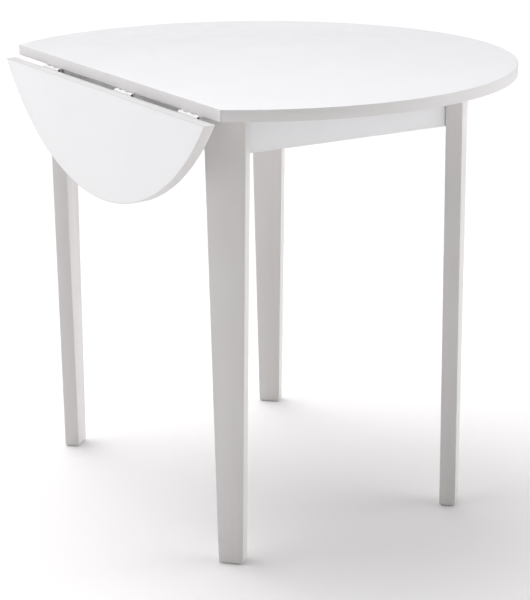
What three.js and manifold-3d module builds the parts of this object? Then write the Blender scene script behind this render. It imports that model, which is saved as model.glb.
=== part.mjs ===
// Round drop-leaf table with one hanging leaf, four corner legs and slotted leaf stays.
// Millimetres, +Z up. The origin is on the floor, under the middle of the whole object's box.
// The hinge line runs along Y, and the leaf hangs on the -X side.

import * as THREE from 'three';
import { mergeVertices } from 'three/addons/utils/BufferGeometryUtils.js';
import Module from 'manifold-3d';

const wasm = await Module();
wasm.setup();

// ---------- driving dimensions ----------

const TOP_RADIUS = 450;
const TABLE_HEIGHT = 750;
const TOP_THICKNESS = 18;
const CHORD_OFFSET = 265; // from the circle's centre to the fixed top's straight edge
const BAND_THICKNESS = 1;
const GLUE_LINE = 0.1;
const FIT_GAP = 0.3; // between pieces that are cut to meet each other

const PIN_OUT = 3.5; // hinge pin, outward from the fixed top's straight edge
const PIN_DROP = 4; // hinge pin, below the top's underside
const LEAF_GAP = 3; // between the two boards when the leaf is up

const LEG_X = 215;
const LEG_Y = 295;
const LEG_TOP_WIDTH = 66;
const LEG_FOOT_WIDTH = 40;
const LEG_THICKNESS = 27;
const GLIDE_HEIGHT = 2;
const GLIDE_EDGE = 3; // how far the glide sits in from the leg's sides

const APRON_HEIGHT = 67;
const APRON_THICKNESS = 16;
const APRON_CORNER_GAP = 4; // keeps the two aprons' inner corners clear of the leg bolt

const BOLT_RADIUS = 4;
const BOLT_DROP = 34; // below the top's underside
const BLOCK_HEIGHT = 46;
const BLOCK_DEPTH = 25;
const BLOCK_START = 1; // from the leg's inner face to the block
const BLOCK_HOLE_GAP = 0.5; // around the bolt, in the block
const BOLT_HOLE_SHARE = 0.75; // of the leg's thickness
const BOLT_PAST_NUT = 4;
const WASHER_RADIUS = 12;
const WASHER_THICKNESS = 1.6;
const NUT_ACROSS = 13;
const NUT_THICKNESS = 6.5;

const ANGLE_OFFSET = 60; // angle bracket, sideways from the apron's middle
const ANGLE_WIDTH = 20;
const ANGLE_ARM = 24;
const ANGLE_SHEET = 2;

const HINGE_LENGTH = 60;
const HINGE_CENTRES = [-275, -60, 215];
const HINGE_NAMES = ['front', 'middle', 'back'];
const PLATE_WIDTH = 18; // from the pin, narrow enough to clear the legs
const PLATE_THICKNESS = 1.5;
const KNUCKLE_RADIUS = 3.2;
const PIN_RADIUS = 2.1;
const PIN_CLEARANCE = 0.1;
const PIN_RECESS = 3; // the pin's ends sit this deep inside the barrel
const KNUCKLES = 5;
const KNUCKLE_GAP = 0.4;
const NECK_START = 0.4; // the sheet's bend from plate to knuckle: three points from the pin
const NECK_LOW = 2;
const NECK_HIGH = 1;
const NECK_OVERLAP = 1;

const STAY_Y = 165; // the stays stand at -STAY_Y and +STAY_Y
const STAY_REACH = 82; // hinge pin to each of the stay's two pivots
const LEAF_PIVOT_STANDOFF = 10; // leaf pivot, off the leaf's underside
const FRAME_PIVOT_DIP = 36; // degrees below the horizontal, seen from the hinge pin
const STAY_HALF_WIDTH = 8;
const STAY_THICKNESS = 2.5;
const STUD_RADIUS = 3;
const STUD_HEAD_RADIUS = 5.5;
const STUD_HEAD = 2;
const RIVET_RADIUS = 2;
const RIVET_HEAD_RADIUS = 4;
const RIVET_TAIL_RADIUS = 3.5;
const RIVET_HEAD = 1.5;
const SLOT_SPARE = 2; // of arm, past the slot's end
const SLOT_CLEARANCE = 0.3;
const BRACKET_THICKNESS = 2.5;
const BRACKET_FLANGE = 22;
const HANGER_HALF_WIDTH = 6.5;
const SIDE_GAP = 0.5; // sideways, between a stay arm and its brackets
const LOCK_NOTCH = 2.5; // sideways step at the slot's end, which holds the leaf up
const NOTCH_WIDTH = 12; // in the hinge-side apron, where a stay arm passes
const NOTCH_HEIGHT = 37;

const FULL_TURN_STEPS = 180;
const SMALL_ROUND_STEPS = 16;

// ---------- places worked out from them ----------

const UNDERSIDE = TABLE_HEIGHT - TOP_THICKNESS;
const AXIS_X = -CHORD_OFFSET - PIN_OUT;
const AXIS_Z = UNDERSIDE - PIN_DROP;
const LEAF_INNER_X = AXIS_X - PIN_DROP;
const LEAF_OUTER_X = LEAF_INNER_X - TOP_THICKNESS;
const LEAF_EDGE_Z = AXIS_Z + PIN_OUT - LEAF_GAP;
const LEAF_CIRCLE_Z = LEAF_EDGE_Z + CHORD_OFFSET + LEAF_GAP;
const CIRCLE_CENTRE_X = -(TOP_RADIUS + LEAF_OUTER_X) / 2; // brings the whole box's middle to X = 0

const MITRE_SUM = LEG_X + LEG_Y - (LEG_THICKNESS / 2 + FIT_GAP) * Math.SQRT2; // |x| + |y| on an apron's end
const CORNER_X = LEG_X - (LEG_THICKNESS / 2 + FIT_GAP) / Math.SQRT2;
const CORNER_Y = LEG_Y - (LEG_THICKNESS / 2 + FIT_GAP) / Math.SQRT2;
const APRON_INNER_X = CORNER_X + APRON_CORNER_GAP;
const APRON_INNER_Y = CORNER_Y + APRON_CORNER_GAP;

// The stay's pivots, seen from the hinge pin: both are STAY_REACH away from it,
// so the arm turns by half of the leaf's angle and always passes over the frame stud.
const LEAF_PIVOT_X = LEAF_PIVOT_STANDOFF - PIN_DROP;
const LEAF_PIVOT_Z = -Math.sqrt(STAY_REACH ** 2 - LEAF_PIVOT_X ** 2);
const FRAME_PIVOT_X = STAY_REACH * Math.cos(THREE.MathUtils.degToRad(FRAME_PIVOT_DIP));
const FRAME_PIVOT_Z = -STAY_REACH * Math.sin(THREE.MathUtils.degToRad(FRAME_PIVOT_DIP));
const STAY_RISE = Math.atan2(FRAME_PIVOT_Z - LEAF_PIVOT_Z, FRAME_PIVOT_X - LEAF_PIVOT_X);
const SPAN_DOWN = Math.hypot(FRAME_PIVOT_X - LEAF_PIVOT_X, FRAME_PIVOT_Z - LEAF_PIVOT_Z);
const SPREAD_DOWN = 2 * Math.asin(SPAN_DOWN / (2 * STAY_REACH));
const SPAN_UP = 2 * STAY_REACH * Math.sin((SPREAD_DOWN + Math.PI / 2) / 2);

// ---------- materials ----------

function finish(color, roughness, metalness) {
  return new THREE.MeshStandardMaterial({ color, roughness, metalness });
}

const lacqueredBoard = () => finish(0xf4f3f4, 0.45, 0);
const edgeBanding = () => finish(0xe9e7e6, 0.5, 0);
const paintedWood = () => finish(0xe9e9ee, 0.5, 0);
const paintedSteel = () => finish(0xefeff0, 0.4, 0.2);
const plainPine = () => finish(0xd9c08f, 0.7, 0);
const zincSteel = () => finish(0xb9bcc0, 0.35, 0.9);
const glidePlastic = () => finish(0xf2f2f0, 0.5, 0);

// ---------- geometry helpers ----------

// Extrudes a shape along X, Y or Z from `start`. Its own two axes become
// (Y, Z) along X, (X, Z) along Y and (X, Y) along Z.
function extrude(shape, along, start, depth, curveSegments = SMALL_ROUND_STEPS / 2) {
  const geometry = new THREE.ExtrudeGeometry(shape, { depth, curveSegments, bevelEnabled: false });
  const x = new THREE.Vector3(1, 0, 0);
  const y = new THREE.Vector3(0, 1, 0);
  const z = new THREE.Vector3(0, 0, 1);
  if (along === 'x') {
    geometry.applyMatrix4(new THREE.Matrix4().makeBasis(y, z, x));
    return geometry.translate(start, 0, 0);
  }
  if (along === 'y') {
    geometry.applyMatrix4(new THREE.Matrix4().makeBasis(x, z, y.clone().negate()));
    return geometry.translate(0, start + depth, 0);
  }
  return geometry.translate(0, 0, start);
}

function polygon(points) {
  return new THREE.Shape(points.map(([u, v]) => new THREE.Vector2(u, v)));
}

function rectangle(u0, v0, u1, v1) {
  return polygon([[u0, v0], [u1, v0], [u1, v1], [u0, v1]]);
}

function disc(u, v, radius) {
  return new THREE.Shape().absarc(u, v, radius, 0, 2 * Math.PI, false);
}

// A bar with round ends, from one centre to the other.
function stadium(u0, v0, u1, v1, radius) {
  const angle = Math.atan2(v1 - v0, u1 - u0);
  const shape = new THREE.Shape();
  shape.absarc(u1, v1, radius, angle - Math.PI / 2, angle + Math.PI / 2, false);
  shape.absarc(u0, v0, radius, angle + Math.PI / 2, angle + 1.5 * Math.PI, false);
  return shape;
}

function toSolid(geometry) {
  const bare = geometry.clone();
  bare.deleteAttribute('normal');
  bare.deleteAttribute('uv');
  const merged = mergeVertices(bare, 1e-4);
  return new wasm.Manifold(new wasm.Mesh({
    numProp: 3,
    vertProperties: new Float32Array(merged.attributes.position.array),
    triVerts: new Uint32Array(merged.index.array),
  }));
}

function toGeometry(solid) {
  const { vertProperties, triVerts } = solid.getMesh();
  const geometry = new THREE.BufferGeometry();
  geometry.setAttribute('position', new THREE.BufferAttribute(vertProperties, 3));
  geometry.setIndex(new THREE.BufferAttribute(triVerts, 1));
  geometry.computeVertexNormals();
  return geometry;
}

function cut(geometry, ...tools) {
  return toGeometry(tools.reduce((solid, tool) => solid.subtract(toSolid(tool)), toSolid(geometry)));
}

function join(...geometries) {
  return toGeometry(geometries.map(toSolid).reduce((solid, other) => solid.add(other)));
}

function addMesh(parent, name, geometry, material) {
  const mesh = new THREE.Mesh(geometry, material);
  mesh.name = name;
  parent.add(mesh);
}

// ---------- boards and their edge bands ----------

// The part of a circle beyond a straight cut. `middle` is the angle of the arc's middle,
// and `cutDistance` the way from the centre to the cut, negative when it lies behind the centre.
function circlePart(u, v, radius, cutDistance, middle) {
  const half = Math.acos(cutDistance / radius);
  return new THREE.Shape().absarc(u, v, radius, middle - half, middle + half, false);
}

// A strip of edge banding along the same arc.
function arcBand(u, v, radius, cutDistance, middle) {
  const inner = radius - BAND_THICKNESS;
  const outerHalf = Math.acos(cutDistance / radius);
  const innerHalf = Math.acos(cutDistance / inner);
  const shape = new THREE.Shape();
  shape.absarc(u, v, radius, middle - outerHalf, middle + outerHalf, false);
  shape.absarc(u, v, inner, middle + innerHalf, middle - innerHalf, true);
  return shape;
}

function arcSegments(radius, cutDistance) {
  const turn = Math.acos(cutDistance / radius) / Math.PI;
  return Math.round((turn * FULL_TURN_STEPS) / 2);
}

const BOARD_RADIUS = TOP_RADIUS - BAND_THICKNESS - GLUE_LINE;
const BAND_INSET = BAND_THICKNESS + GLUE_LINE;

function fixedTop(table) {
  const boardCut = -(CHORD_OFFSET - BAND_INSET);
  const board = circlePart(0, 0, BOARD_RADIUS, boardCut, 0);
  const segments = arcSegments(TOP_RADIUS, -CHORD_OFFSET);
  const boardGeometry = extrude(board, 'z', UNDERSIDE, TOP_THICKNESS, segments);
  addMesh(table, 'fixed_top', boardGeometry, lacqueredBoard());

  const roundBand = arcBand(0, 0, TOP_RADIUS, boardCut, 0);
  const roundGeometry = extrude(roundBand, 'z', UNDERSIDE, TOP_THICKNESS, segments);
  addMesh(table, 'top_round_edge_band', roundGeometry, edgeBanding());

  const halfChord = Math.sqrt(TOP_RADIUS ** 2 - CHORD_OFFSET ** 2);
  const straight = rectangle(-CHORD_OFFSET, -halfChord, -CHORD_OFFSET + BAND_THICKNESS, halfChord);
  const straightGeometry = extrude(straight, 'z', UNDERSIDE, TOP_THICKNESS);
  addMesh(table, 'top_hinge_edge_band', straightGeometry, edgeBanding());
}

// The leaf hangs with its outside face towards -X, and its hinge edge upwards.
function dropLeaf(table) {
  const down = -Math.PI / 2;
  const edgeCut = CHORD_OFFSET + LEAF_GAP;
  const boardCut = edgeCut + BAND_INSET;
  const segments = arcSegments(TOP_RADIUS, edgeCut);
  const board = circlePart(0, LEAF_CIRCLE_Z, BOARD_RADIUS, boardCut, down);
  const boardGeometry = extrude(board, 'x', LEAF_OUTER_X, TOP_THICKNESS, segments);
  addMesh(table, 'drop_leaf', boardGeometry, lacqueredBoard());

  const roundBand = arcBand(0, LEAF_CIRCLE_Z, TOP_RADIUS, boardCut, down);
  const roundGeometry = extrude(roundBand, 'x', LEAF_OUTER_X, TOP_THICKNESS, segments);
  addMesh(table, 'leaf_round_edge_band', roundGeometry, edgeBanding());

  const halfChord = Math.sqrt(TOP_RADIUS ** 2 - edgeCut ** 2);
  const straight = rectangle(-halfChord, LEAF_EDGE_Z - BAND_THICKNESS, halfChord, LEAF_EDGE_Z);
  const straightGeometry = extrude(straight, 'x', LEAF_OUTER_X, TOP_THICKNESS);
  addMesh(table, 'leaf_hinge_edge_band', straightGeometry, edgeBanding());
}

// ---------- legs, corner blocks and their bolts ----------

// Every corner is drawn with +X pointing out along the table's diagonal.
function corner(table, name, signX, signY) {
  const group = new THREE.Group();
  group.position.set(signX * LEG_X, signY * LEG_Y, 0);
  group.rotation.z = Math.atan2(signY, signX);
  table.add(group);

  const inner = -LEG_THICKNESS / 2;
  const boltZ = UNDERSIDE - BOLT_DROP;
  const boltHole = (radius, start, length) => extrude(disc(0, boltZ, radius), 'x', start, length);

  const sides = polygon([
    [-LEG_FOOT_WIDTH / 2, GLIDE_HEIGHT],
    [LEG_FOOT_WIDTH / 2, GLIDE_HEIGHT],
    [LEG_TOP_WIDTH / 2, UNDERSIDE],
    [-LEG_TOP_WIDTH / 2, UNDERSIDE],
  ]);
  const holeDepth = LEG_THICKNESS * BOLT_HOLE_SHARE;
  const leg = cut(
    extrude(sides, 'x', inner, LEG_THICKNESS),
    boltHole(BOLT_RADIUS + FIT_GAP, inner - 1, holeDepth + 1),
  );
  addMesh(group, `leg_${name}`, leg, paintedWood());

  const glideHalfWidth = LEG_FOOT_WIDTH / 2 - GLIDE_EDGE;
  const glideHalfDepth = LEG_THICKNESS / 2 - GLIDE_EDGE;
  const glide = rectangle(-glideHalfDepth, -glideHalfWidth, glideHalfDepth, glideHalfWidth);
  addMesh(group, `foot_glide_${name}`, extrude(glide, 'z', 0, GLIDE_HEIGHT), glidePlastic());

  const blockNear = inner - FIT_GAP - BLOCK_START;
  const blockFar = blockNear - BLOCK_DEPTH;
  const nearHalf = APRON_CORNER_GAP * Math.SQRT2 + BLOCK_START - FIT_GAP * Math.SQRT2;
  const farHalf = nearHalf + BLOCK_DEPTH;
  const blockPlan = polygon([
    [blockFar, -farHalf],
    [blockNear, -nearHalf],
    [blockNear, nearHalf],
    [blockFar, farHalf],
  ]);
  const blockBottom = boltZ - BLOCK_HEIGHT / 2;
  const block = cut(
    extrude(blockPlan, 'z', blockBottom, BLOCK_HEIGHT),
    boltHole(BOLT_RADIUS + BLOCK_HOLE_GAP, blockFar - 1, BLOCK_DEPTH + 2),
  );
  addMesh(group, `corner_block_${name}`, block, plainPine());

  const washerNear = blockFar - FIT_GAP;
  const nutNear = washerNear - WASHER_THICKNESS - FIT_GAP;
  const boltIn = inner + holeDepth - 1;
  const boltOut = nutNear - NUT_THICKNESS - BOLT_PAST_NUT;
  addMesh(group, `leg_bolt_${name}`, boltHole(BOLT_RADIUS, boltOut, boltIn - boltOut), zincSteel());

  const washerRing = disc(0, boltZ, WASHER_RADIUS);
  washerRing.holes.push(disc(0, boltZ, BOLT_RADIUS + FIT_GAP));
  const washer = extrude(washerRing, 'x', washerNear - WASHER_THICKNESS, WASHER_THICKNESS);
  addMesh(group, `leg_washer_${name}`, washer, zincSteel());

  const nutCorner = NUT_ACROSS / Math.sqrt(3);
  const hexagon = polygon([0, 1, 2, 3, 4, 5].map((sixth) => [
    nutCorner * Math.cos((sixth * Math.PI) / 3),
    boltZ + nutCorner * Math.sin((sixth * Math.PI) / 3),
  ]));
  hexagon.holes.push(disc(0, boltZ, BOLT_RADIUS + FIT_GAP));
  const nut = extrude(hexagon, 'x', nutNear - NUT_THICKNESS, NUT_THICKNESS);
  addMesh(group, `leg_nut_${name}`, nut, zincSteel());
}

// ---------- aprons ----------

function apronBoard(plan) {
  return extrude(plan, 'z', UNDERSIDE - APRON_HEIGHT, APRON_HEIGHT);
}

function aprons(table) {
  for (const [name, side] of [['front', -1], ['back', 1]]) {
    const outerY = APRON_INNER_Y + APRON_THICKNESS;
    const plan = polygon([
      [-(MITRE_SUM - APRON_INNER_Y), side * APRON_INNER_Y],
      [-(MITRE_SUM - outerY), side * outerY],
      [MITRE_SUM - outerY, side * outerY],
      [MITRE_SUM - APRON_INNER_Y, side * APRON_INNER_Y],
    ]);
    addMesh(table, `apron_${name}`, apronBoard(plan), paintedWood());
    topBracket(table, name, (side * Math.PI) / 2, APRON_INNER_Y);
  }

  for (const [name, side] of [['hinge_side', -1], ['round_side', 1]]) {
    const outerX = APRON_INNER_X + APRON_THICKNESS;
    const plan = polygon([
      [side * APRON_INNER_X, -(MITRE_SUM - APRON_INNER_X)],
      [side * outerX, -(MITRE_SUM - outerX)],
      [side * outerX, MITRE_SUM - outerX],
      [side * APRON_INNER_X, MITRE_SUM - APRON_INNER_X],
    ]);
    const board = apronBoard(plan);
    const notches = [-STAY_Y, STAY_Y].map((y) => stayNotch(y));
    addMesh(table, `apron_${name}`, side < 0 ? cut(board, ...notches) : board, paintedWood());
    topBracket(table, name, side < 0 ? Math.PI : 0, APRON_INNER_X);
  }
}

// The slot in the hinge-side apron, open at the bottom, that a stay arm swings through.
function stayNotch(y) {
  const bottom = UNDERSIDE - APRON_HEIGHT;
  const sides = rectangle(y - NOTCH_WIDTH / 2, bottom - 1, y + NOTCH_WIDTH / 2, bottom + NOTCH_HEIGHT);
  return extrude(sides, 'x', -APRON_INNER_X - APRON_THICKNESS - 1, APRON_THICKNESS + 2);
}

// An angle bracket that holds the top down on an apron. It is drawn with +X towards the apron.
function topBracket(table, name, turn, wallDistance) {
  const group = new THREE.Group();
  group.rotation.z = turn;
  table.add(group);
  const wall = wallDistance - FIT_GAP;
  const top = UNDERSIDE - FIT_GAP;
  const angle = polygon([
    [wall, top],
    [wall - ANGLE_ARM, top],
    [wall - ANGLE_ARM, top - ANGLE_SHEET],
    [wall - ANGLE_SHEET, top - ANGLE_SHEET],
    [wall - ANGLE_SHEET, top - ANGLE_ARM],
    [wall, top - ANGLE_ARM],
  ]);
  const start = -ANGLE_OFFSET - ANGLE_WIDTH / 2;
  addMesh(group, `top_bracket_${name}`, extrude(angle, 'y', start, ANGLE_WIDTH), zincSteel());
}

// ---------- hinges ----------

// Places along Y where a hinge plate has its own knuckles: every second one.
function knuckleSpans(centre, first) {
  const pitch = HINGE_LENGTH / KNUCKLES;
  const spans = [];
  for (let i = first; i < KNUCKLES; i += 2) {
    const start = centre - HINGE_LENGTH / 2 + i * pitch;
    spans.push([start + KNUCKLE_GAP / 2, pitch - KNUCKLE_GAP]);
  }
  return spans;
}

// Draws a plate in the fixed top's position: (u, v) is measured from the pin,
// u away from the joint and v towards the board that the plate is screwed to.
function hingePlate(place, centre, first) {
  const boardSide = PIN_DROP - FIT_GAP;
  const plateStart = KNUCKLE_RADIUS + FIT_GAP;
  const neckEnd = plateStart + NECK_OVERLAP;
  const plate = place(
    [[plateStart, boardSide - PLATE_THICKNESS], [PLATE_WIDTH, boardSide - PLATE_THICKNESS],
      [PLATE_WIDTH, boardSide], [plateStart, boardSide]],
    centre - HINGE_LENGTH / 2,
    HINGE_LENGTH,
  );
  const pieces = [plate];
  const bores = [];
  for (const [start, length] of knuckleSpans(centre, first)) {
    const round = [];
    const hole = [];
    for (let i = 0; i < SMALL_ROUND_STEPS; i += 1) {
      const angle = (2 * Math.PI * i) / SMALL_ROUND_STEPS;
      round.push([KNUCKLE_RADIUS * Math.cos(angle), KNUCKLE_RADIUS * Math.sin(angle)]);
      const bore = PIN_RADIUS + PIN_CLEARANCE;
      hole.push([bore * Math.cos(angle), bore * Math.sin(angle)]);
    }
    pieces.push(place(round, start, length));
    pieces.push(place(
      [[NECK_START, NECK_LOW], [NECK_LOW, NECK_HIGH], [neckEnd, boardSide - PLATE_THICKNESS],
        [neckEnd, boardSide], [NECK_START, boardSide]],
      start,
      length,
    ));
    bores.push(place(hole, start - 1, length + 2));
  }
  return cut(join(...pieces), ...bores);
}

function hinge(table, name, centre) {
  // Along Y with (u, v) as (X, Z) for the fixed plate, and turned a quarter for the leaf's plate.
  const onTop = (points, start, length) => extrude(
    polygon(points.map(([u, v]) => [AXIS_X + u, AXIS_Z + v])), 'y', start, length,
  );
  const onLeaf = (points, start, length) => extrude(
    polygon(points.map(([u, v]) => [AXIS_X - v, AXIS_Z - u])), 'y', start, length,
  );
  addMesh(table, `hinge_${name}_top_plate`, hingePlate(onTop, centre, 0), paintedSteel());
  addMesh(table, `hinge_${name}_leaf_plate`, hingePlate(onLeaf, centre, 1), paintedSteel());
  const pinLength = HINGE_LENGTH - 2 * PIN_RECESS;
  const pin = extrude(disc(AXIS_X, AXIS_Z, PIN_RADIUS), 'y', centre - pinLength / 2, pinLength);
  addMesh(table, `hinge_${name}_pin`, pin, zincSteel());
}

// ---------- leaf stays ----------

// One slotted stay: an arm riveted to the leaf, whose slot slides over a stud on the frame.
function stay(table, name, y) {
  const leafX = AXIS_X + LEAF_PIVOT_X;
  const leafZ = AXIS_Z + LEAF_PIVOT_Z;
  const studX = AXIS_X + FRAME_PIVOT_X;
  const studZ = AXIS_Z + FRAME_PIVOT_Z;
  const along = (distance, aside = 0) => [
    leafX + distance * Math.cos(STAY_RISE) - aside * Math.sin(STAY_RISE),
    leafZ + distance * Math.sin(STAY_RISE) + aside * Math.cos(STAY_RISE),
  ];
  const armStart = y - STAY_THICKNESS / 2;
  const lugStart = y + STAY_THICKNESS / 2 + SIDE_GAP;
  const slotRadius = STUD_RADIUS + SLOT_CLEARANCE;

  const armOutline = stadium(...along(0), ...along(SPAN_UP + SLOT_SPARE), STAY_HALF_WIDTH);
  const slot = stadium(...along(SPAN_DOWN), ...along(SPAN_UP), slotRadius);
  const lock = stadium(...along(SPAN_UP), ...along(SPAN_UP, LOCK_NOTCH), slotRadius);
  const rivetHole = disc(...along(0), RIVET_RADIUS + FIT_GAP);
  const through = (shape) => extrude(shape, 'y', armStart - 1, STAY_THICKNESS + 2);
  const arm = cut(
    extrude(armOutline, 'y', armStart, STAY_THICKNESS), through(slot), through(lock), through(rivetHole),
  );
  addMesh(table, `stay_arm_${name}`, arm, zincSteel());

  const flangeTop = UNDERSIDE - FIT_GAP;
  const hangerLeft = studX - HANGER_HALF_WIDTH;
  const hangerRight = studX + HANGER_HALF_WIDTH;
  const hangerEnd = extrude(disc(studX, studZ, HANGER_HALF_WIDTH), 'y', lugStart, BRACKET_THICKNESS);
  const hangerSide = extrude(
    rectangle(hangerLeft, studZ, hangerRight, flangeTop), 'y', lugStart, BRACKET_THICKNESS,
  );
  const hangerFlange = extrude(
    rectangle(hangerLeft, flangeTop - BRACKET_THICKNESS, hangerRight, flangeTop),
    'y', lugStart, BRACKET_FLANGE,
  );
  const shank = STUD_RADIUS - 0.5;
  const studHole = extrude(disc(studX, studZ, shank + FIT_GAP), 'y', lugStart - 1, BRACKET_THICKNESS + 2);
  const hanger = cut(join(hangerEnd, hangerSide, hangerFlange), studHole);
  addMesh(table, `stay_hanger_${name}`, hanger, zincSteel());

  // The stud: a shank through the hanger, a shoulder in the slot and a head over the arm.
  const headStart = armStart - SIDE_GAP - STUD_HEAD;
  const stud = lathe([
    [0, headStart],
    [STUD_HEAD_RADIUS, headStart],
    [STUD_HEAD_RADIUS, headStart + STUD_HEAD],
    [STUD_RADIUS, headStart + STUD_HEAD],
    [STUD_RADIUS, lugStart - FIT_GAP],
    [shank, lugStart - FIT_GAP],
    [shank, lugStart + BRACKET_THICKNESS + RIVET_HEAD],
    [0, lugStart + BRACKET_THICKNESS + RIVET_HEAD],
  ], studX, studZ);
  addMesh(table, `stay_stud_${name}`, stud, zincSteel());

  const footStart = LEAF_INNER_X + FIT_GAP;
  const lugHalf = STAY_HALF_WIDTH;
  const leafLug = extrude(
    stadium(leafX, leafZ, footStart + lugHalf, leafZ, lugHalf), 'y', lugStart, BRACKET_THICKNESS,
  );
  const leafLugRoot = extrude(
    rectangle(footStart, leafZ - lugHalf, footStart + lugHalf, leafZ + lugHalf),
    'y', lugStart, BRACKET_THICKNESS,
  );
  const leafFoot = extrude(
    rectangle(footStart, leafZ - lugHalf, footStart + BRACKET_THICKNESS, leafZ + lugHalf),
    'y', lugStart, BRACKET_FLANGE,
  );
  const rivetBore = extrude(
    disc(leafX, leafZ, RIVET_RADIUS + FIT_GAP), 'y', lugStart - 1, BRACKET_THICKNESS + 2,
  );
  const leafBracket = cut(join(leafLug, leafLugRoot, leafFoot), rivetBore);
  addMesh(table, `stay_leaf_bracket_${name}`, leafBracket, zincSteel());

  const rivetHead = armStart - SIDE_GAP - RIVET_HEAD;
  const rivetEnd = lugStart + BRACKET_THICKNESS + FIT_GAP;
  const rivet = lathe([
    [0, rivetHead],
    [RIVET_HEAD_RADIUS, rivetHead],
    [RIVET_HEAD_RADIUS, rivetHead + RIVET_HEAD],
    [RIVET_RADIUS, rivetHead + RIVET_HEAD],
    [RIVET_RADIUS, rivetEnd],
    [RIVET_TAIL_RADIUS, rivetEnd],
    [RIVET_TAIL_RADIUS, rivetEnd + RIVET_HEAD],
    [0, rivetEnd + RIVET_HEAD],
  ], leafX, leafZ);
  addMesh(table, `stay_rivet_${name}`, rivet, zincSteel());
}

// Turns a profile of [radius, y] points about a line along Y through (x, z).
function lathe(profile, x, z) {
  const points = profile.map(([radius, y]) => new THREE.Vector2(radius, y));
  return new THREE.LatheGeometry(points, SMALL_ROUND_STEPS).translate(x, 0, z);
}

// ---------- the whole table ----------

const root = new THREE.Group();
const table = new THREE.Group();
table.position.x = CIRCLE_CENTRE_X;
root.add(table);

fixedTop(table);
dropLeaf(table);
corner(table, 'hinge_side_front', -1, -1);
corner(table, 'hinge_side_back', -1, 1);
corner(table, 'round_side_front', 1, -1);
corner(table, 'round_side_back', 1, 1);
aprons(table);
HINGE_CENTRES.forEach((centre, i) => hinge(table, HINGE_NAMES[i], centre));
stay(table, 'front', -STAY_Y);
stay(table, 'back', STAY_Y);

export default root;
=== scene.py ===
"""A white round drop-leaf table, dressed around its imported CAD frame. Metres, +Z up."""

import math

import bmesh
import bpy
from mathutils import Matrix, Vector
from mathutils.geometry import tessellate_polygon


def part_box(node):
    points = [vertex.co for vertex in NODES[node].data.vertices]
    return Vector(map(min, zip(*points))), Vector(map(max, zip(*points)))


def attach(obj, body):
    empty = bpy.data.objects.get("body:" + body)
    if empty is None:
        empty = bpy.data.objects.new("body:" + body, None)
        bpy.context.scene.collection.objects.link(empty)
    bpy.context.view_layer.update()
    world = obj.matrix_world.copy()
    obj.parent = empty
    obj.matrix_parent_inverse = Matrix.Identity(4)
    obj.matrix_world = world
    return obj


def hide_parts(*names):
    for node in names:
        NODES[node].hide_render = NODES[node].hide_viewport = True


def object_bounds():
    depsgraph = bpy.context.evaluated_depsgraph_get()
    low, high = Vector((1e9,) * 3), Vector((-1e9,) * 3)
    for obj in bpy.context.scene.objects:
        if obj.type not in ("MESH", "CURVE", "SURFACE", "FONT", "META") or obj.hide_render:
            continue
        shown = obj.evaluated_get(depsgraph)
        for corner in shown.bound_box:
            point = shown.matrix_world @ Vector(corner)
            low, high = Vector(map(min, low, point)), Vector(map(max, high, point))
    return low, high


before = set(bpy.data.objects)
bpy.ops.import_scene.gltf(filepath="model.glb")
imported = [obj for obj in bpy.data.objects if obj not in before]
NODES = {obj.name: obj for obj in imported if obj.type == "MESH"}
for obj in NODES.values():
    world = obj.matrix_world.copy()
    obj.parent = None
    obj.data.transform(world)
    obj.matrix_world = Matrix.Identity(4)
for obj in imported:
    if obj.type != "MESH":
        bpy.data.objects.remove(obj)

CAD_BOX = [list(corner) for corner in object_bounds()]
SCENE = bpy.context.scene
LOW, HIGH = (Vector(corner) for corner in CAD_BOX)
TOP_RADIUS = (HIGH.y - LOW.y) / 2
CIRCLE_X = HIGH.x - TOP_RADIUS  # the round top's centre
MM = 0.001


# ---------- camera ----------

CAMERA_FROM_CIRCLE = Vector((-1.4691, -2.4867, 1.2282))
CAMERA_YAW = math.radians(31.04)
CAMERA_PITCH = math.radians(15.02)
CAMERA_ROLL = math.radians(-0.47)
CAMERA_LENS = 103.3
CAMERA_SENSOR = 36
CAMERA_SHIFT_Y = -0.12
CAMERA_CLIP = (0.05, 60)


def make_camera():
    data = bpy.data.cameras.new("camera")
    data.sensor_width = CAMERA_SENSOR
    data.lens = CAMERA_LENS
    data.shift_y = CAMERA_SHIFT_Y
    data.clip_start, data.clip_end = CAMERA_CLIP
    camera = bpy.data.objects.new("camera", data)
    turn = (
        Matrix.Rotation(-CAMERA_YAW, 4, "Z")
        @ Matrix.Rotation(math.pi / 2 - CAMERA_PITCH, 4, "X")
        @ Matrix.Rotation(CAMERA_ROLL, 4, "Z")
    )
    place = Matrix.Translation(Vector((CIRCLE_X, 0, 0)) + CAMERA_FROM_CIRCLE)
    camera.matrix_world = place @ turn
    SCENE.collection.objects.link(camera)
    SCENE.camera = camera


# ---------- node trees ----------

MIX_COLOUR_A, MIX_COLOUR_B = 6, 7  # a Mix node's colour sockets, which share their names with others
MIX_COLOUR_RESULT = 2


class Tree:
    """The node tree of a material or a world, emptied, with one short call for each kind of node."""

    def __init__(self, owner):
        owner.use_nodes = True
        self.tree = owner.node_tree
        self.tree.nodes.clear()

    def add(self, kind, **settings):
        node = self.tree.nodes.new(kind)
        for name, value in settings.items():
            setattr(node, name, value)
        return node

    def link(self, output, socket):
        self.tree.links.new(output, socket)

    def put(self, value, socket):
        """Links a socket's output, or sets a plain value."""
        if isinstance(value, bpy.types.NodeSocket):
            self.link(value, socket)
        else:
            socket.default_value = value

    def maths(self, operation, a, b=0.0):
        node = self.add("ShaderNodeMath", operation=operation)
        self.put(a, node.inputs[0])
        self.put(b, node.inputs[1])
        return node.outputs["Value"]

    def dot(self, a, b):
        node = self.add("ShaderNodeVectorMath", operation="DOT_PRODUCT")
        self.put(a, node.inputs[0])
        self.put(b, node.inputs[1])
        return node.outputs["Value"]


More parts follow.
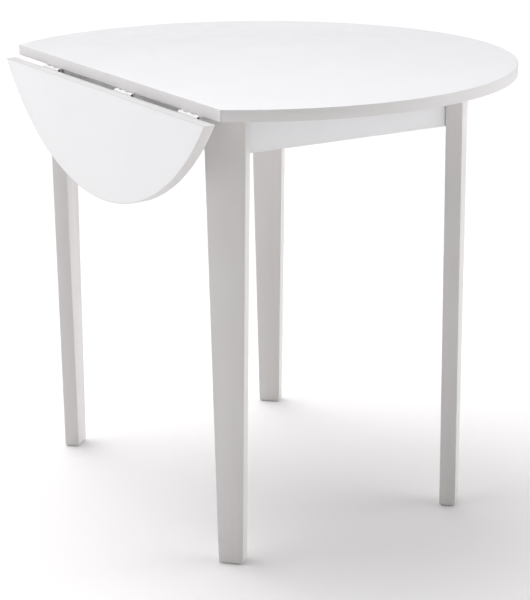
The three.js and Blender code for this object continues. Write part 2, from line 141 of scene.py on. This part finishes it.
class Nodes(Tree):
    """A procedural material, built around one Principled shader."""

    def __init__(self, name):
        self.material = bpy.data.materials.new(name)
        super().__init__(self.material)
        self.shader = self.add("ShaderNodeBsdfPrincipled")
        output = self.add("ShaderNodeOutputMaterial")
        self.link(self.shader.outputs["BSDF"], output.inputs["Surface"])
        self.place = self.add("ShaderNodeTexCoord").outputs["Object"]

    def drive(self, name, value):
        """Links or sets one of the shader's own sockets."""
        self.put(value, self.shader.inputs[name])

    def scaled(self, scale):
        mapping = self.add("ShaderNodeMapping")
        mapping.inputs["Scale"].default_value = scale
        self.link(self.place, mapping.inputs["Vector"])
        return mapping.outputs["Vector"]

    def noise(self, scale, detail=4.0, roughness=0.5, stretch=(1, 1, 1), distortion=0.0):
        node = self.add("ShaderNodeTexNoise")
        node.inputs["Scale"].default_value = scale
        node.inputs["Detail"].default_value = detail
        node.inputs["Roughness"].default_value = roughness
        node.inputs["Distortion"].default_value = distortion
        self.link(self.scaled(stretch), node.inputs["Vector"])
        return node.outputs["Fac"]

    def remap(self, value, low, high, to_low, to_high):
        node = self.add("ShaderNodeMapRange")
        self.put(value, node.inputs["Value"])
        node.inputs["From Min"].default_value = low
        node.inputs["From Max"].default_value = high
        node.inputs["To Min"].default_value = to_low
        node.inputs["To Max"].default_value = to_high
        return node.outputs["Result"]

    def mix(self, factor, a, b):
        node = self.add("ShaderNodeMix", data_type="RGBA")
        self.put(factor, node.inputs[0])
        self.put(a, node.inputs[MIX_COLOUR_A])
        self.put(b, node.inputs[MIX_COLOUR_B])
        return node.outputs[MIX_COLOUR_RESULT]

    def bump(self, height, distance, strength=1.0, base=None):
        node = self.add("ShaderNodeBump")
        node.inputs["Strength"].default_value = strength
        node.inputs["Distance"].default_value = distance
        self.link(height, node.inputs["Height"])
        if base is not None:
            self.link(base, node.inputs["Normal"])
        return node.outputs["Normal"]

    def edge_mask(self, radius, low=0.02, high=0.25):
        """0 on flat stretches, rising to 1 within `radius` of an edge."""
        bevel = self.add("ShaderNodeBevel", samples=4)
        bevel.inputs["Radius"].default_value = radius
        true_normal = self.add("ShaderNodeNewGeometry").outputs["Normal"]
        away = self.maths("SUBTRACT", 1.0, self.dot(bevel.outputs["Normal"], true_normal))
        return self.remap(away, low, high, 0.0, 1.0)


def grey(level, warm=0.0):
    """A near-neutral colour, a little warm or, below zero, a little cool."""
    return (level * (1 + warm), level, level * (1 - warm), 1.0)


EARLYWOOD = (0.70, 0.50, 0.29, 1)
LATEWOOD = (0.55, 0.34, 0.16, 1)
SAWN_FIBRE = (0.78, 0.60, 0.38, 1)
ZINC_COOL = (0.60, 0.62, 0.64, 1)
ZINC_WARM = (0.72, 0.72, 0.70, 1)
ZINC_GRAIN = (0.50, 0.52, 0.55, 1)
ZINC_EDGE = (0.82, 0.82, 0.82, 1)
BARE_STEEL = (0.42, 0.42, 0.43, 1)
OILED_DARK = (0.035, 0.033, 0.03, 1)
OILED_LIGHT = (0.09, 0.085, 0.08, 1)


def foil_board(name="board_foil", level=0.80, warm=-0.006, roughness=0.42):
    """Satin white foil on a board: a fine print of pores, soft roller mottling and faint handling marks."""
    m = Nodes(name)
    mottle = m.noise(7.0, 3.0)
    marks = m.noise(38.0, 6.0, 0.7, distortion=1.2)
    colour = m.mix(m.remap(mottle, 0.3, 0.7, 0, 1), grey(level, warm), grey(level * 0.985, warm + 0.004))
    faint = m.remap(marks, 0.62, 0.75, 0.0, 0.35)
    colour = m.mix(faint, colour, grey(level * 0.965, 0.002))
    worn = m.maths("MULTIPLY", m.edge_mask(0.9 * MM), m.remap(m.noise(60.0, 3.0), 0.35, 0.7, 0.1, 0.6))
    colour = m.mix(worn, colour, grey(level * 0.9, 0.012))
    m.drive("Base Color", colour)
    m.drive("Roughness", m.remap(marks, 0.3, 0.7, roughness - 0.05, roughness + 0.07))
    peel = m.bump(m.noise(900.0, 2.0), 0.02 * MM, 0.5)
    m.drive("Normal", m.bump(m.noise(70.0, 2.0), 0.05 * MM, 0.35, peel))
    m.drive("Specular IOR Level", 0.42)
    return m.material


def edge_banding(name="edge_banding"):
    """Thin melamine strip: a fine grain along the strip and a slightly rubbed arris."""
    m = Nodes(name)
    level = 0.68
    streak = m.noise(5.0, 4.0, 0.6, stretch=(2, 2, 90))
    colour = m.mix(m.remap(streak, 0.3, 0.7, 0, 1), grey(level, 0.012), grey(level * 0.97, 0.018))
    colour = m.mix(m.maths("MULTIPLY", m.edge_mask(0.7 * MM), 0.6), colour, grey(level * 0.8, 0.03))
    m.drive("Base Color", colour)
    m.drive("Roughness", m.remap(streak, 0.2, 0.8, 0.42, 0.55))
    m.drive("Normal", m.bump(streak, 0.04 * MM, 0.5))
    m.drive("Specular IOR Level", 0.4)
    return m.material


# The default level and warmth are a darker, warmer copy of the white paint, used on the legs: painted
# shade.
def painted_wood(name, stretch, level=0.655, warm=0.018):
    """Sprayed satin paint over solid wood: the grain still shows as a faint relief along the board."""
    m = Nodes(name)
    grain = m.noise(60.0, 5.0, 0.62, stretch=stretch, distortion=0.4)
    pores = m.noise(420.0, 2.0, 0.5, stretch=stretch)
    cloud = m.noise(9.0, 3.0)
    colour = m.mix(m.remap(cloud, 0.3, 0.7, 0, 1), grey(level, warm), grey(level * 0.98, warm + 0.006))
    colour = m.mix(m.remap(grain, 0.5, 0.7, 0.0, 0.7), colour, grey(level * 0.945, warm + 0.01))
    rub = m.maths("MULTIPLY", m.edge_mask(1.4 * MM), m.remap(m.noise(45.0, 4.0), 0.35, 0.7, 0.1, 0.9))
    colour = m.mix(m.maths("MULTIPLY", rub, 0.6), colour, grey(level * 0.86, 0.03))
    m.drive("Base Color", colour)
    m.drive("Roughness", m.remap(grain, 0.25, 0.75, 0.40, 0.54))
    fine = m.bump(pores, 0.03 * MM, 0.5)
    m.drive("Normal", m.bump(grain, 0.2 * MM, 0.7, fine))
    m.drive("Specular IOR Level", 0.45)
    return m.material


def bare_pine(name="bare_pine"):
    """Planed pine: growth rings as soft bands, dark latewood lines and saw fuzz."""
    m = Nodes(name)
    rings = m.add("ShaderNodeTexWave", wave_type="RINGS", rings_direction="Z")
    rings.inputs["Scale"].default_value = 38.0
    rings.inputs["Distortion"].default_value = 5.0
    rings.inputs["Detail"].default_value = 3.0
    m.link(m.scaled((1, 1, 0.25)), rings.inputs["Vector"])
    fibre = m.noise(140.0, 5.0, 0.6, stretch=(1, 1, 0.08))
    colour = m.mix(rings.outputs["Fac"], EARLYWOOD, LATEWOOD)
    colour = m.mix(m.remap(fibre, 0.35, 0.7, 0, 0.6), colour, SAWN_FIBRE)
    m.drive("Base Color", colour)
    m.drive("Roughness", m.remap(fibre, 0.3, 0.7, 0.6, 0.8))
    m.drive("Normal", m.bump(fibre, 0.15 * MM, 0.6))
    return m.material


def zinc_plate(name="zinc_plate"):
    """Bright zinc on steel: a soft crystalline mottle, drawn streaks and duller edges."""
    m = Nodes(name)
    spangle = m.add("ShaderNodeTexVoronoi")
    spangle.inputs["Scale"].default_value = 260.0
    m.link(m.scaled((1, 1, 1)), spangle.inputs["Vector"])
    cloud = m.noise(120.0, 4.0, 0.6)
    colour = m.mix(m.remap(cloud, 0.3, 0.7, 0, 1), ZINC_COOL, ZINC_WARM)
    colour = m.mix(m.remap(spangle.outputs["Distance"], 0.0, 0.8, 0.25, 0.0), colour, ZINC_GRAIN)
    colour = m.mix(m.maths("MULTIPLY", m.edge_mask(0.4 * MM), 0.4), colour, ZINC_EDGE)
    m.drive("Base Color", colour)
    m.drive("Metallic", 1.0)
    m.drive("Roughness", m.remap(cloud, 0.3, 0.7, 0.28, 0.46))
    m.drive("Normal", m.bump(m.noise(700.0, 3.0), 0.02 * MM, 0.5))
    return m.material


def powder_coat(name="hinge_powder_coat"):
    """White powder coat on steel: orange peel, with a hint of metal at the rubbed corners."""
    m = Nodes(name)
    level = 0.86
    cloud = m.noise(150.0, 3.0)
    colour = m.mix(m.remap(cloud, 0.3, 0.7, 0, 1), grey(level), grey(level * 0.97, 0.004))
    chipped = m.maths("MULTIPLY", m.edge_mask(0.35 * MM), m.remap(m.noise(500.0, 3.0), 0.5, 0.65, 0, 0.6))
    colour = m.mix(chipped, colour, BARE_STEEL)
    m.drive("Base Color", colour)
    m.drive("Roughness", m.remap(cloud, 0.3, 0.7, 0.32, 0.44))
    m.drive("Normal", m.bump(m.noise(1100.0, 2.0), 0.03 * MM, 0.6))
    return m.material


def dark_steel(name="hinge_pin_steel"):
    """Oiled steel at the bottom of the hinge barrel."""
    m = Nodes(name)
    cloud = m.noise(300.0, 4.0, 0.6)
    m.drive("Base Color", m.mix(m.remap(cloud, 0.3, 0.7, 0, 1), OILED_DARK, OILED_LIGHT))
    m.drive("Metallic", 1.0)
    m.drive("Roughness", m.remap(cloud, 0.3, 0.7, 0.35, 0.6))
    m.drive("Normal", m.bump(m.noise(900.0, 2.0), 0.02 * MM, 0.5))
    return m.material


def glide_plastic(name="glide_plastic"):
    """Moulded polyethylene: slightly translucent, scuffed near the floor."""
    m = Nodes(name)
    level = 0.80
    scuff = m.noise(220.0, 5.0, 0.7, stretch=(1, 1, 4))
    colour = m.mix(m.remap(scuff, 0.45, 0.7, 0, 0.6), grey(level, 0.004), grey(level * 0.8, 0.02))
    m.drive("Base Color", colour)
    m.drive("Roughness", m.remap(scuff, 0.3, 0.7, 0.38, 0.6))
    m.drive("Normal", m.bump(scuff, 0.05 * MM, 0.5))
    m.drive("Subsurface Weight", 0.1)
    m.drive("Subsurface Scale", 0.002)
    return m.material


# ---------- dressing the CAD nodes ----------

WELD_DISTANCE = 0.002 * MM
SMOOTH_ANGLE = math.radians(30)
FLAT_ANGLE = math.radians(0.4)
ARRIS_ANGLE = math.radians(32)
ARRIS_SEGMENTS = 3
GRAIN_STRETCH = 0.04  # along the board, so that the grain runs that way
# A lighter, cooler copy of the legs' white paint, used on the aprons: painted light.
APRON_PAINT_LIT = (0.76, -0.01)  # its level, and how warm it is


def geometry_group(name):
    group = bpy.data.node_groups.new(name, "GeometryNodeTree")
    group.interface.new_socket("Geometry", in_out="INPUT", socket_type="NodeSocketGeometry")
    group.interface.new_socket("Geometry", in_out="OUTPUT", socket_type="NodeSocketGeometry")
    return group, group.nodes.new("NodeGroupInput"), group.nodes.new("NodeGroupOutput")


def weld_group():
    """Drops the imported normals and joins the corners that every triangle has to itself."""
    group, start, end = geometry_group("weld corners")
    forget = group.nodes.new("GeometryNodeRemoveAttribute")
    forget.inputs["Name"].default_value = "custom_normal"
    merge = group.nodes.new("GeometryNodeMergeByDistance")
    merge.inputs["Distance"].default_value = WELD_DISTANCE
    group.links.new(start.outputs[0], forget.inputs["Geometry"])
    group.links.new(forget.outputs["Geometry"], merge.inputs["Geometry"])
    group.links.new(merge.outputs["Geometry"], end.inputs[0])
    return group


def shade_group():
    """Smooth shading, apart from edges sharper than the angle."""
    group, start, end = geometry_group("shade by angle")
    faces = group.nodes.new("GeometryNodeSetShadeSmooth")
    edges = group.nodes.new("GeometryNodeSetShadeSmooth")
    edges.domain = "EDGE"
    angle = group.nodes.new("GeometryNodeInputMeshEdgeAngle")
    sharp = group.nodes.new("FunctionNodeCompare")
    sharp.inputs[1].default_value = SMOOTH_ANGLE
    edges.inputs["Shade Smooth"].default_value = False
    group.links.new(start.outputs[0], faces.inputs["Geometry"])
    group.links.new(faces.outputs["Geometry"], edges.inputs["Geometry"])
    group.links.new(angle.outputs["Unsigned Angle"], sharp.inputs[0])
    group.links.new(sharp.outputs["Result"], edges.inputs["Selection"])
    group.links.new(edges.outputs["Geometry"], end.inputs[0])
    return group


def add_group(obj, group):
    modifier = obj.modifiers.new(group.name, "NODES")
    modifier.node_group = group


def soften(obj, width):
    """Rounds a CAD node's arrises, by modifiers only: its own mesh stays as it is."""
    add_group(obj, WELD)
    flat = obj.modifiers.new("flat faces", "DECIMATE")
    flat.decimate_type = "DISSOLVE"
    flat.angle_limit = FLAT_ANGLE
    arris = obj.modifiers.new("arris", "BEVEL")
    arris.width = width
    arris.segments = ARRIS_SEGMENTS
    arris.limit_method = "ANGLE"
    arris.angle_limit = ARRIS_ANGLE
    add_group(obj, SHADE)


def dress_nodes(zinc, powder):
    """Gives each CAD node its material and rounded arrises: the first row that fits its name."""
    board = foil_board()
    banding = edge_banding()
    # Legs and aprons get shaded and lit copies of one white paint: the legs' darker, warmer copy is painted
    # shade, the aprons' lighter, cooler copy is painted light.
    upright = painted_wood("painted_wood_upright", (1, 1, GRAIN_STRETCH))
    along_x = painted_wood("painted_wood_along_x", (GRAIN_STRETCH, 1, 1), *APRON_PAINT_LIT)
    along_y = painted_wood("painted_wood_along_y", (1, GRAIN_STRETCH, 1), *APRON_PAINT_LIT)
    pine = bare_pine()
    pin = dark_steel()
    plastic = glide_plastic()
    looks = [
        # words in the node's name, material, arris in millimetres
        (("edge_band",), banding, 0.45),
        (("fixed_top", "drop_leaf"), board, 0.12),
        (("foot_glide",), plastic, 0.6),
        (("corner_block",), pine, 0.8),
        (("leg_bolt", "leg_nut", "leg_washer"), zinc, 0.3),
        (("hinge_front_pin", "hinge_middle_pin", "hinge_back_pin"), pin, 0.2),
        (("top_plate", "leaf_plate"), powder, 0.25),
        (("stay_", "top_bracket"), zinc, 0.3),
        (("apron_front", "apron_back"), along_x, 0.8),
        (("apron_",), along_y, 0.8),
        (("leg_",), upright, 1.6),
    ]
    for name, node in NODES.items():
        for words, material, round_mm in looks:
            if any(word in name for word in words):
                node.data.materials.clear()
                node.data.materials.append(material)
                soften(node, round_mm * MM)
                break


# ---------- screws ----------

HINGE_SCREW = (3 * MM, 0.8 * MM)  # each screw is its head's radius and height
HINGE_SHEET = 1.5 * MM
HINGE_SCREW_IN = 7 * MM  # from the plate's free edge to its screws
HINGE_SCREW_PITCH = 22 * MM
BRACKET_SCREW = (3.6 * MM, 1.8 * MM)
BRACKET_SHEET = 2 * MM
BRACKET_SCREW_IN = 9 * MM
BRACKET_SCREW_ASIDE = 1.5 * MM  # from the flange's middle, away from the bend
STAY_SCREW = (3.4 * MM, 1.6 * MM)
STAY_SHEET = 2.5 * MM
STAY_SCREWS_IN = (4.5 * MM, 13.5 * MM)
HEAD_STEPS = 32
HEAD_PROFILE = [(1.0, 0.0), (1.0, 0.12), (0.95, 0.4), (0.82, 0.72), (0.66, 0.92), (0.52, 1.0)]
CROSS_MOUTH = (0.46, 0.11)  # an arm's reach and half width, as shares of the head's radius
CROSS_FLOOR = (0.26, 0.08)
CROSS_FLOOR_HEIGHT = 0.25  # share of the head's height


def ring(bm, radius, z, steps):
    return [
        bm.verts.new((radius * math.cos(turn), radius * math.sin(turn), z))
        for turn in (2 * math.pi * i / steps for i in range(steps))
    ]


def bridge(bm, lower, upper):
    count = len(lower)
    for i in range(count):
        j = (i + 1) % count
        bm.faces.new((lower[i], lower[j], upper[j], upper[i]))


def cross_ring(bm, radius, shares, z):
    """A plus sign's corners, anticlockwise from its right arm."""
    reach, half = (radius * share for share in shares)
    quarter = [(reach, -half), (reach, half), (half, half)]
    points = []
    for cos, sin in [(1, 0), (0, 1), (-1, 0), (0, -1)]:
        points += [(x * cos - y * sin, x * sin + y * cos, z) for x, y in quarter]
    return [bm.verts.new(point) for point in points]


def screw_head(radius, height):
    """A raised head with a tapered cross recess, standing on z = 0."""
    bm = bmesh.new()
    rings = [ring(bm, radius * r, height * z, HEAD_STEPS) for r, z in HEAD_PROFILE]
    for lower, upper in zip(rings, rings[1:]):
        bridge(bm, lower, upper)
    mouth = cross_ring(bm, radius, CROSS_MOUTH, height)
    floor = cross_ring(bm, radius, CROSS_FLOOR, height * CROSS_FLOOR_HEIGHT)
    loops = [[v.co for v in rings[-1]], [v.co for v in mouth]]
    land = rings[-1] + mouth
    for triangle in tessellate_polygon(loops):
        bm.faces.new([land[i] for i in triangle])
    bridge(bm, mouth, floor)
    bm.faces.new(floor)
    bm.faces.new(rings[0][::-1])
    bmesh.ops.recalc_face_normals(bm, faces=bm.faces)
    return bm


def add_piece(name, bm, material, body):
    """A new piece from a bmesh, smoothly shaded, riding on a body."""
    mesh = bpy.data.meshes.new(name)
    bm.to_mesh(mesh)
    bm.free()
    mesh.materials.append(material)
    piece = bpy.data.objects.new(name, mesh)
    SCENE.collection.objects.link(piece)
    add_group(piece, SHADE)
    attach(piece, body)
    return piece


def add_screws(name, places, facing, size, material, body):
    """One piece with a screw head at each place, each cross turned its own way."""
    bm = bmesh.new()
    upright = Vector(facing).to_track_quat("Z", "Y").to_matrix().to_4x4()
    for i, place in enumerate(places):
        head = screw_head(*size)
        twist = Matrix.Rotation(math.radians(37 * i + 11 * len(name)), 4, "Z")
        head.transform(Matrix.Translation(place) @ upright @ twist)
        shape = bpy.data.meshes.new("screw head")
        head.to_mesh(shape)
        head.free()
        bm.from_mesh(shape)
        bpy.data.meshes.remove(shape)
    add_piece(name, bm, material, body)


def hinge_screws(material):
    for hinge in ("front", "middle", "back"):
        low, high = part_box(f"hinge_{hinge}_top_plate")
        middle = (low[1] + high[1]) / 2
        spread = (-HINGE_SCREW_PITCH, 0, HINGE_SCREW_PITCH)
        x, z = high[0] - HINGE_SCREW_IN, high[2] - HINGE_SHEET
        places = [Vector((x, middle + dy, z)) for dy in spread]
        name = f"screws_hinge_{hinge}_top"
        add_screws(name, places, (0, 0, -1), HINGE_SCREW, material, "table_frame")

        low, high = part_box(f"hinge_{hinge}_leaf_plate")
        x, z = low[0] + HINGE_SHEET, low[2] + HINGE_SCREW_IN
        places = [Vector((x, middle + dy, z)) for dy in spread]
        name = f"screws_hinge_{hinge}_leaf"
        add_screws(name, places, (1, 0, 0), HINGE_SCREW, material, "leaf")


def stay_screws(material):
    for stay in ("front", "back"):
        low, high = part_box(f"stay_hanger_{stay}")
        x = (low[0] + high[0]) / 2
        places = [Vector((x, high[1] - back, high[2] - STAY_SHEET)) for back in STAY_SCREWS_IN]
        name = f"screws_hanger_{stay}"
        add_screws(name, places, (0, 0, -1), STAY_SCREW, material, "table_frame")

        low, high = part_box(f"stay_leaf_bracket_{stay}")
        z = (low[2] + high[2]) / 2
        places = [Vector((low[0] + STAY_SHEET, high[1] - back, z)) for back in STAY_SCREWS_IN]
        name = f"screws_leaf_bracket_{stay}"
        add_screws(name, places, (1, 0, 0), STAY_SCREW, material, "leaf")


def bracket_screws(material):
    """One screw up into the top and one into the apron, for each angle bracket."""
    for name in NODES:
        if not name.startswith("top_bracket_"):
            continue
        low, high = (Vector(corner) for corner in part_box(name))
        middle = (low + high) / 2
        along = 1 if high.y - low.y > high.x - low.x else 0
        inward = -1 if middle[along] - (0 if along else CIRCLE_X) > 0 else 1
        wall = low[along] if inward > 0 else high[along]
        up = Vector((middle.x, middle.y, high.z - BRACKET_SHEET))
        up[along] += inward * BRACKET_SCREW_ASIDE
        side = Vector((middle.x, middle.y, low.z + BRACKET_SCREW_IN))
        side[along] = wall + inward * BRACKET_SHEET
        facing = Vector((0, 0, 0))
        facing[along] = inward
        words = name.replace("top_bracket_", "")
        for piece, place, way in (("top", up, (0, 0, -1)), ("apron", side, facing)):
            add_screws(f"screw_{piece}_{words}", [place], way, BRACKET_SCREW, material, "table_frame")


# ---------- leg bolts ----------

THREAD_PITCH = 1.25 * MM
THREAD_DEPTH = 0.7 * MM
THREAD_SHOWN = 15 * MM  # at the inner end, past the washer and nut
STEPS_PER_PITCH = 8
ROD_STEPS = 24
SHANK_SHARE = 0.97  # of the bolt's radius, where it has no thread


def threaded_rod(radius, length):
    """A rod along +Z from z = 0, with a rolled thread on its first stretch and a chamfered tip."""
    bm = bmesh.new()
    count = int(THREAD_SHOWN / THREAD_PITCH) * STEPS_PER_PITCH
    levels = [i * THREAD_PITCH / STEPS_PER_PITCH for i in range(count)]
    rings = []
    for z in levels:
        verts = []
        for i in range(ROD_STEPS):
            turn = i / ROD_STEPS
            phase = (z / THREAD_PITCH - turn) % 1
            groove = abs(2 * phase - 1)
            tip = min(1.0, z / THREAD_PITCH)
            r = radius - THREAD_DEPTH * (1 - tip + tip * groove)
            angle = 2 * math.pi * turn
            verts.append(bm.verts.new((r * math.cos(angle), r * math.sin(angle), z)))
        rings.append(verts)
    for z in (levels[-1] + THREAD_PITCH, length):
        rings.append(ring(bm, radius * SHANK_SHARE, z, ROD_STEPS))
    for lower, upper in zip(rings, rings[1:]):
        bridge(bm, lower, upper)
    bm.faces.new(rings[0][::-1])
    bm.faces.new(rings[-1])
    return bm


def leg_bolts(material):
    """Replaces each plain bolt with a threaded one of its size, along its leg's diagonal."""
    for name in NODES:
        if not name.startswith("leg_bolt_"):
            continue
        low, high = (Vector(corner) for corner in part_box(name))
        middle = (low + high) / 2
        radius = (high.z - low.z) / 2
        length = (high.x - low.x) * math.sqrt(2) - 2 * radius
        outward = Vector((math.copysign(1, middle.x - CIRCLE_X), math.copysign(1, middle.y), 0))
        outward.normalize()
        rod = threaded_rod(radius, length)
        turn = outward.to_track_quat("Z", "Y").to_matrix().to_4x4()
        rod.transform(Matrix.Translation(middle - outward * length / 2) @ turn)
        words = name.replace("leg_bolt_", "")
        bolt = add_piece(f"threaded_bolt_{words}", rod, material, "table_frame")
        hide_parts(name)


# ---------- stage and light ----------

FLOOR_SIZE = 60.0
FLOOR_ALBEDO = 0.86
FLOOR_WARM = 0.012
WORLD_BASE = 0.07
WORLD_COLOUR = (0.985, 0.98, 1.0, 1)
BACKDROP_COLOUR = (1.0, 1.0, 1.0, 1)
SOFTBOXES = [
    # azimuth and elevation in degrees, strength: wide glows in the studio's surround
    (95, 64, 4.95),
    (160, 8, 2.9),
    (328, 9, 4.35),
]
SOFTBOX_FOCUS = 8.0


def make_floor():
    mesh = bpy.data.meshes.new("floor")
    half = FLOOR_SIZE / 2
    corners = [(-half, -half, 0), (half, -half, 0), (half, half, 0), (-half, half, 0)]
    mesh.from_pydata(corners, [], [(0, 1, 2, 3)])
    floor = bpy.data.objects.new("floor", mesh)
    m = Nodes("floor_paint")
    pale, paler = grey(FLOOR_ALBEDO - 0.01, FLOOR_WARM), grey(FLOOR_ALBEDO, FLOOR_WARM)
    m.drive("Base Color", m.mix(m.noise(3.0, 2.0), paler, pale))
    m.drive("Roughness", 0.9)
    m.drive("Specular IOR Level", 0.1)
    mesh.materials.append(m.material)
    SCENE.collection.objects.link(floor)


def make_world():
    """A dim surround with three wide soft glows: over the back, at the left and at the right.

    Seen directly, past the floor's edge, it is a plain white backdrop."""
    world = bpy.data.worlds.new("studio")
    w = Tree(world)
    direction = w.add("ShaderNodeTexCoord").outputs["Generated"]
    light = WORLD_BASE
    for azimuth, elevation, strength in SOFTBOXES:
        turn, rise = math.radians(azimuth), math.radians(elevation)
        aim = (math.cos(turn) * math.cos(rise), math.sin(turn) * math.cos(rise), math.sin(rise))
        facing = w.maths("MAXIMUM", w.dot(direction, aim), 0.0)
        glow = w.maths("MULTIPLY", w.maths("POWER", facing, SOFTBOX_FOCUS), strength)
        light = w.maths("ADD", glow, light)
    surround, backdrop = w.add("ShaderNodeBackground"), w.add("ShaderNodeBackground")
    w.put(WORLD_COLOUR, surround.inputs["Color"])
    w.put(light, surround.inputs["Strength"])
    w.put(BACKDROP_COLOUR, backdrop.inputs["Color"])
    choose = w.add("ShaderNodeMixShader")
    w.link(w.add("ShaderNodeLightPath").outputs["Is Camera Ray"], choose.inputs["Fac"])
    w.link(surround.outputs["Background"], choose.inputs[1])
    w.link(backdrop.outputs["Background"], choose.inputs[2])
    output = w.add("ShaderNodeOutputWorld")
    w.link(choose.outputs["Shader"], output.inputs["Surface"])
    SCENE.world = world


# ---------- the scene ----------

WELD = weld_group()
SHADE = shade_group()
ZINC = zinc_plate()
POWDER = powder_coat()
make_camera()
dress_nodes(ZINC, POWDER)
hinge_screws(POWDER)
stay_screws(ZINC)
bracket_screws(ZINC)
leg_bolts(ZINC)
make_floor()
make_world()
SCENE.view_settings.view_transform = "Standard"
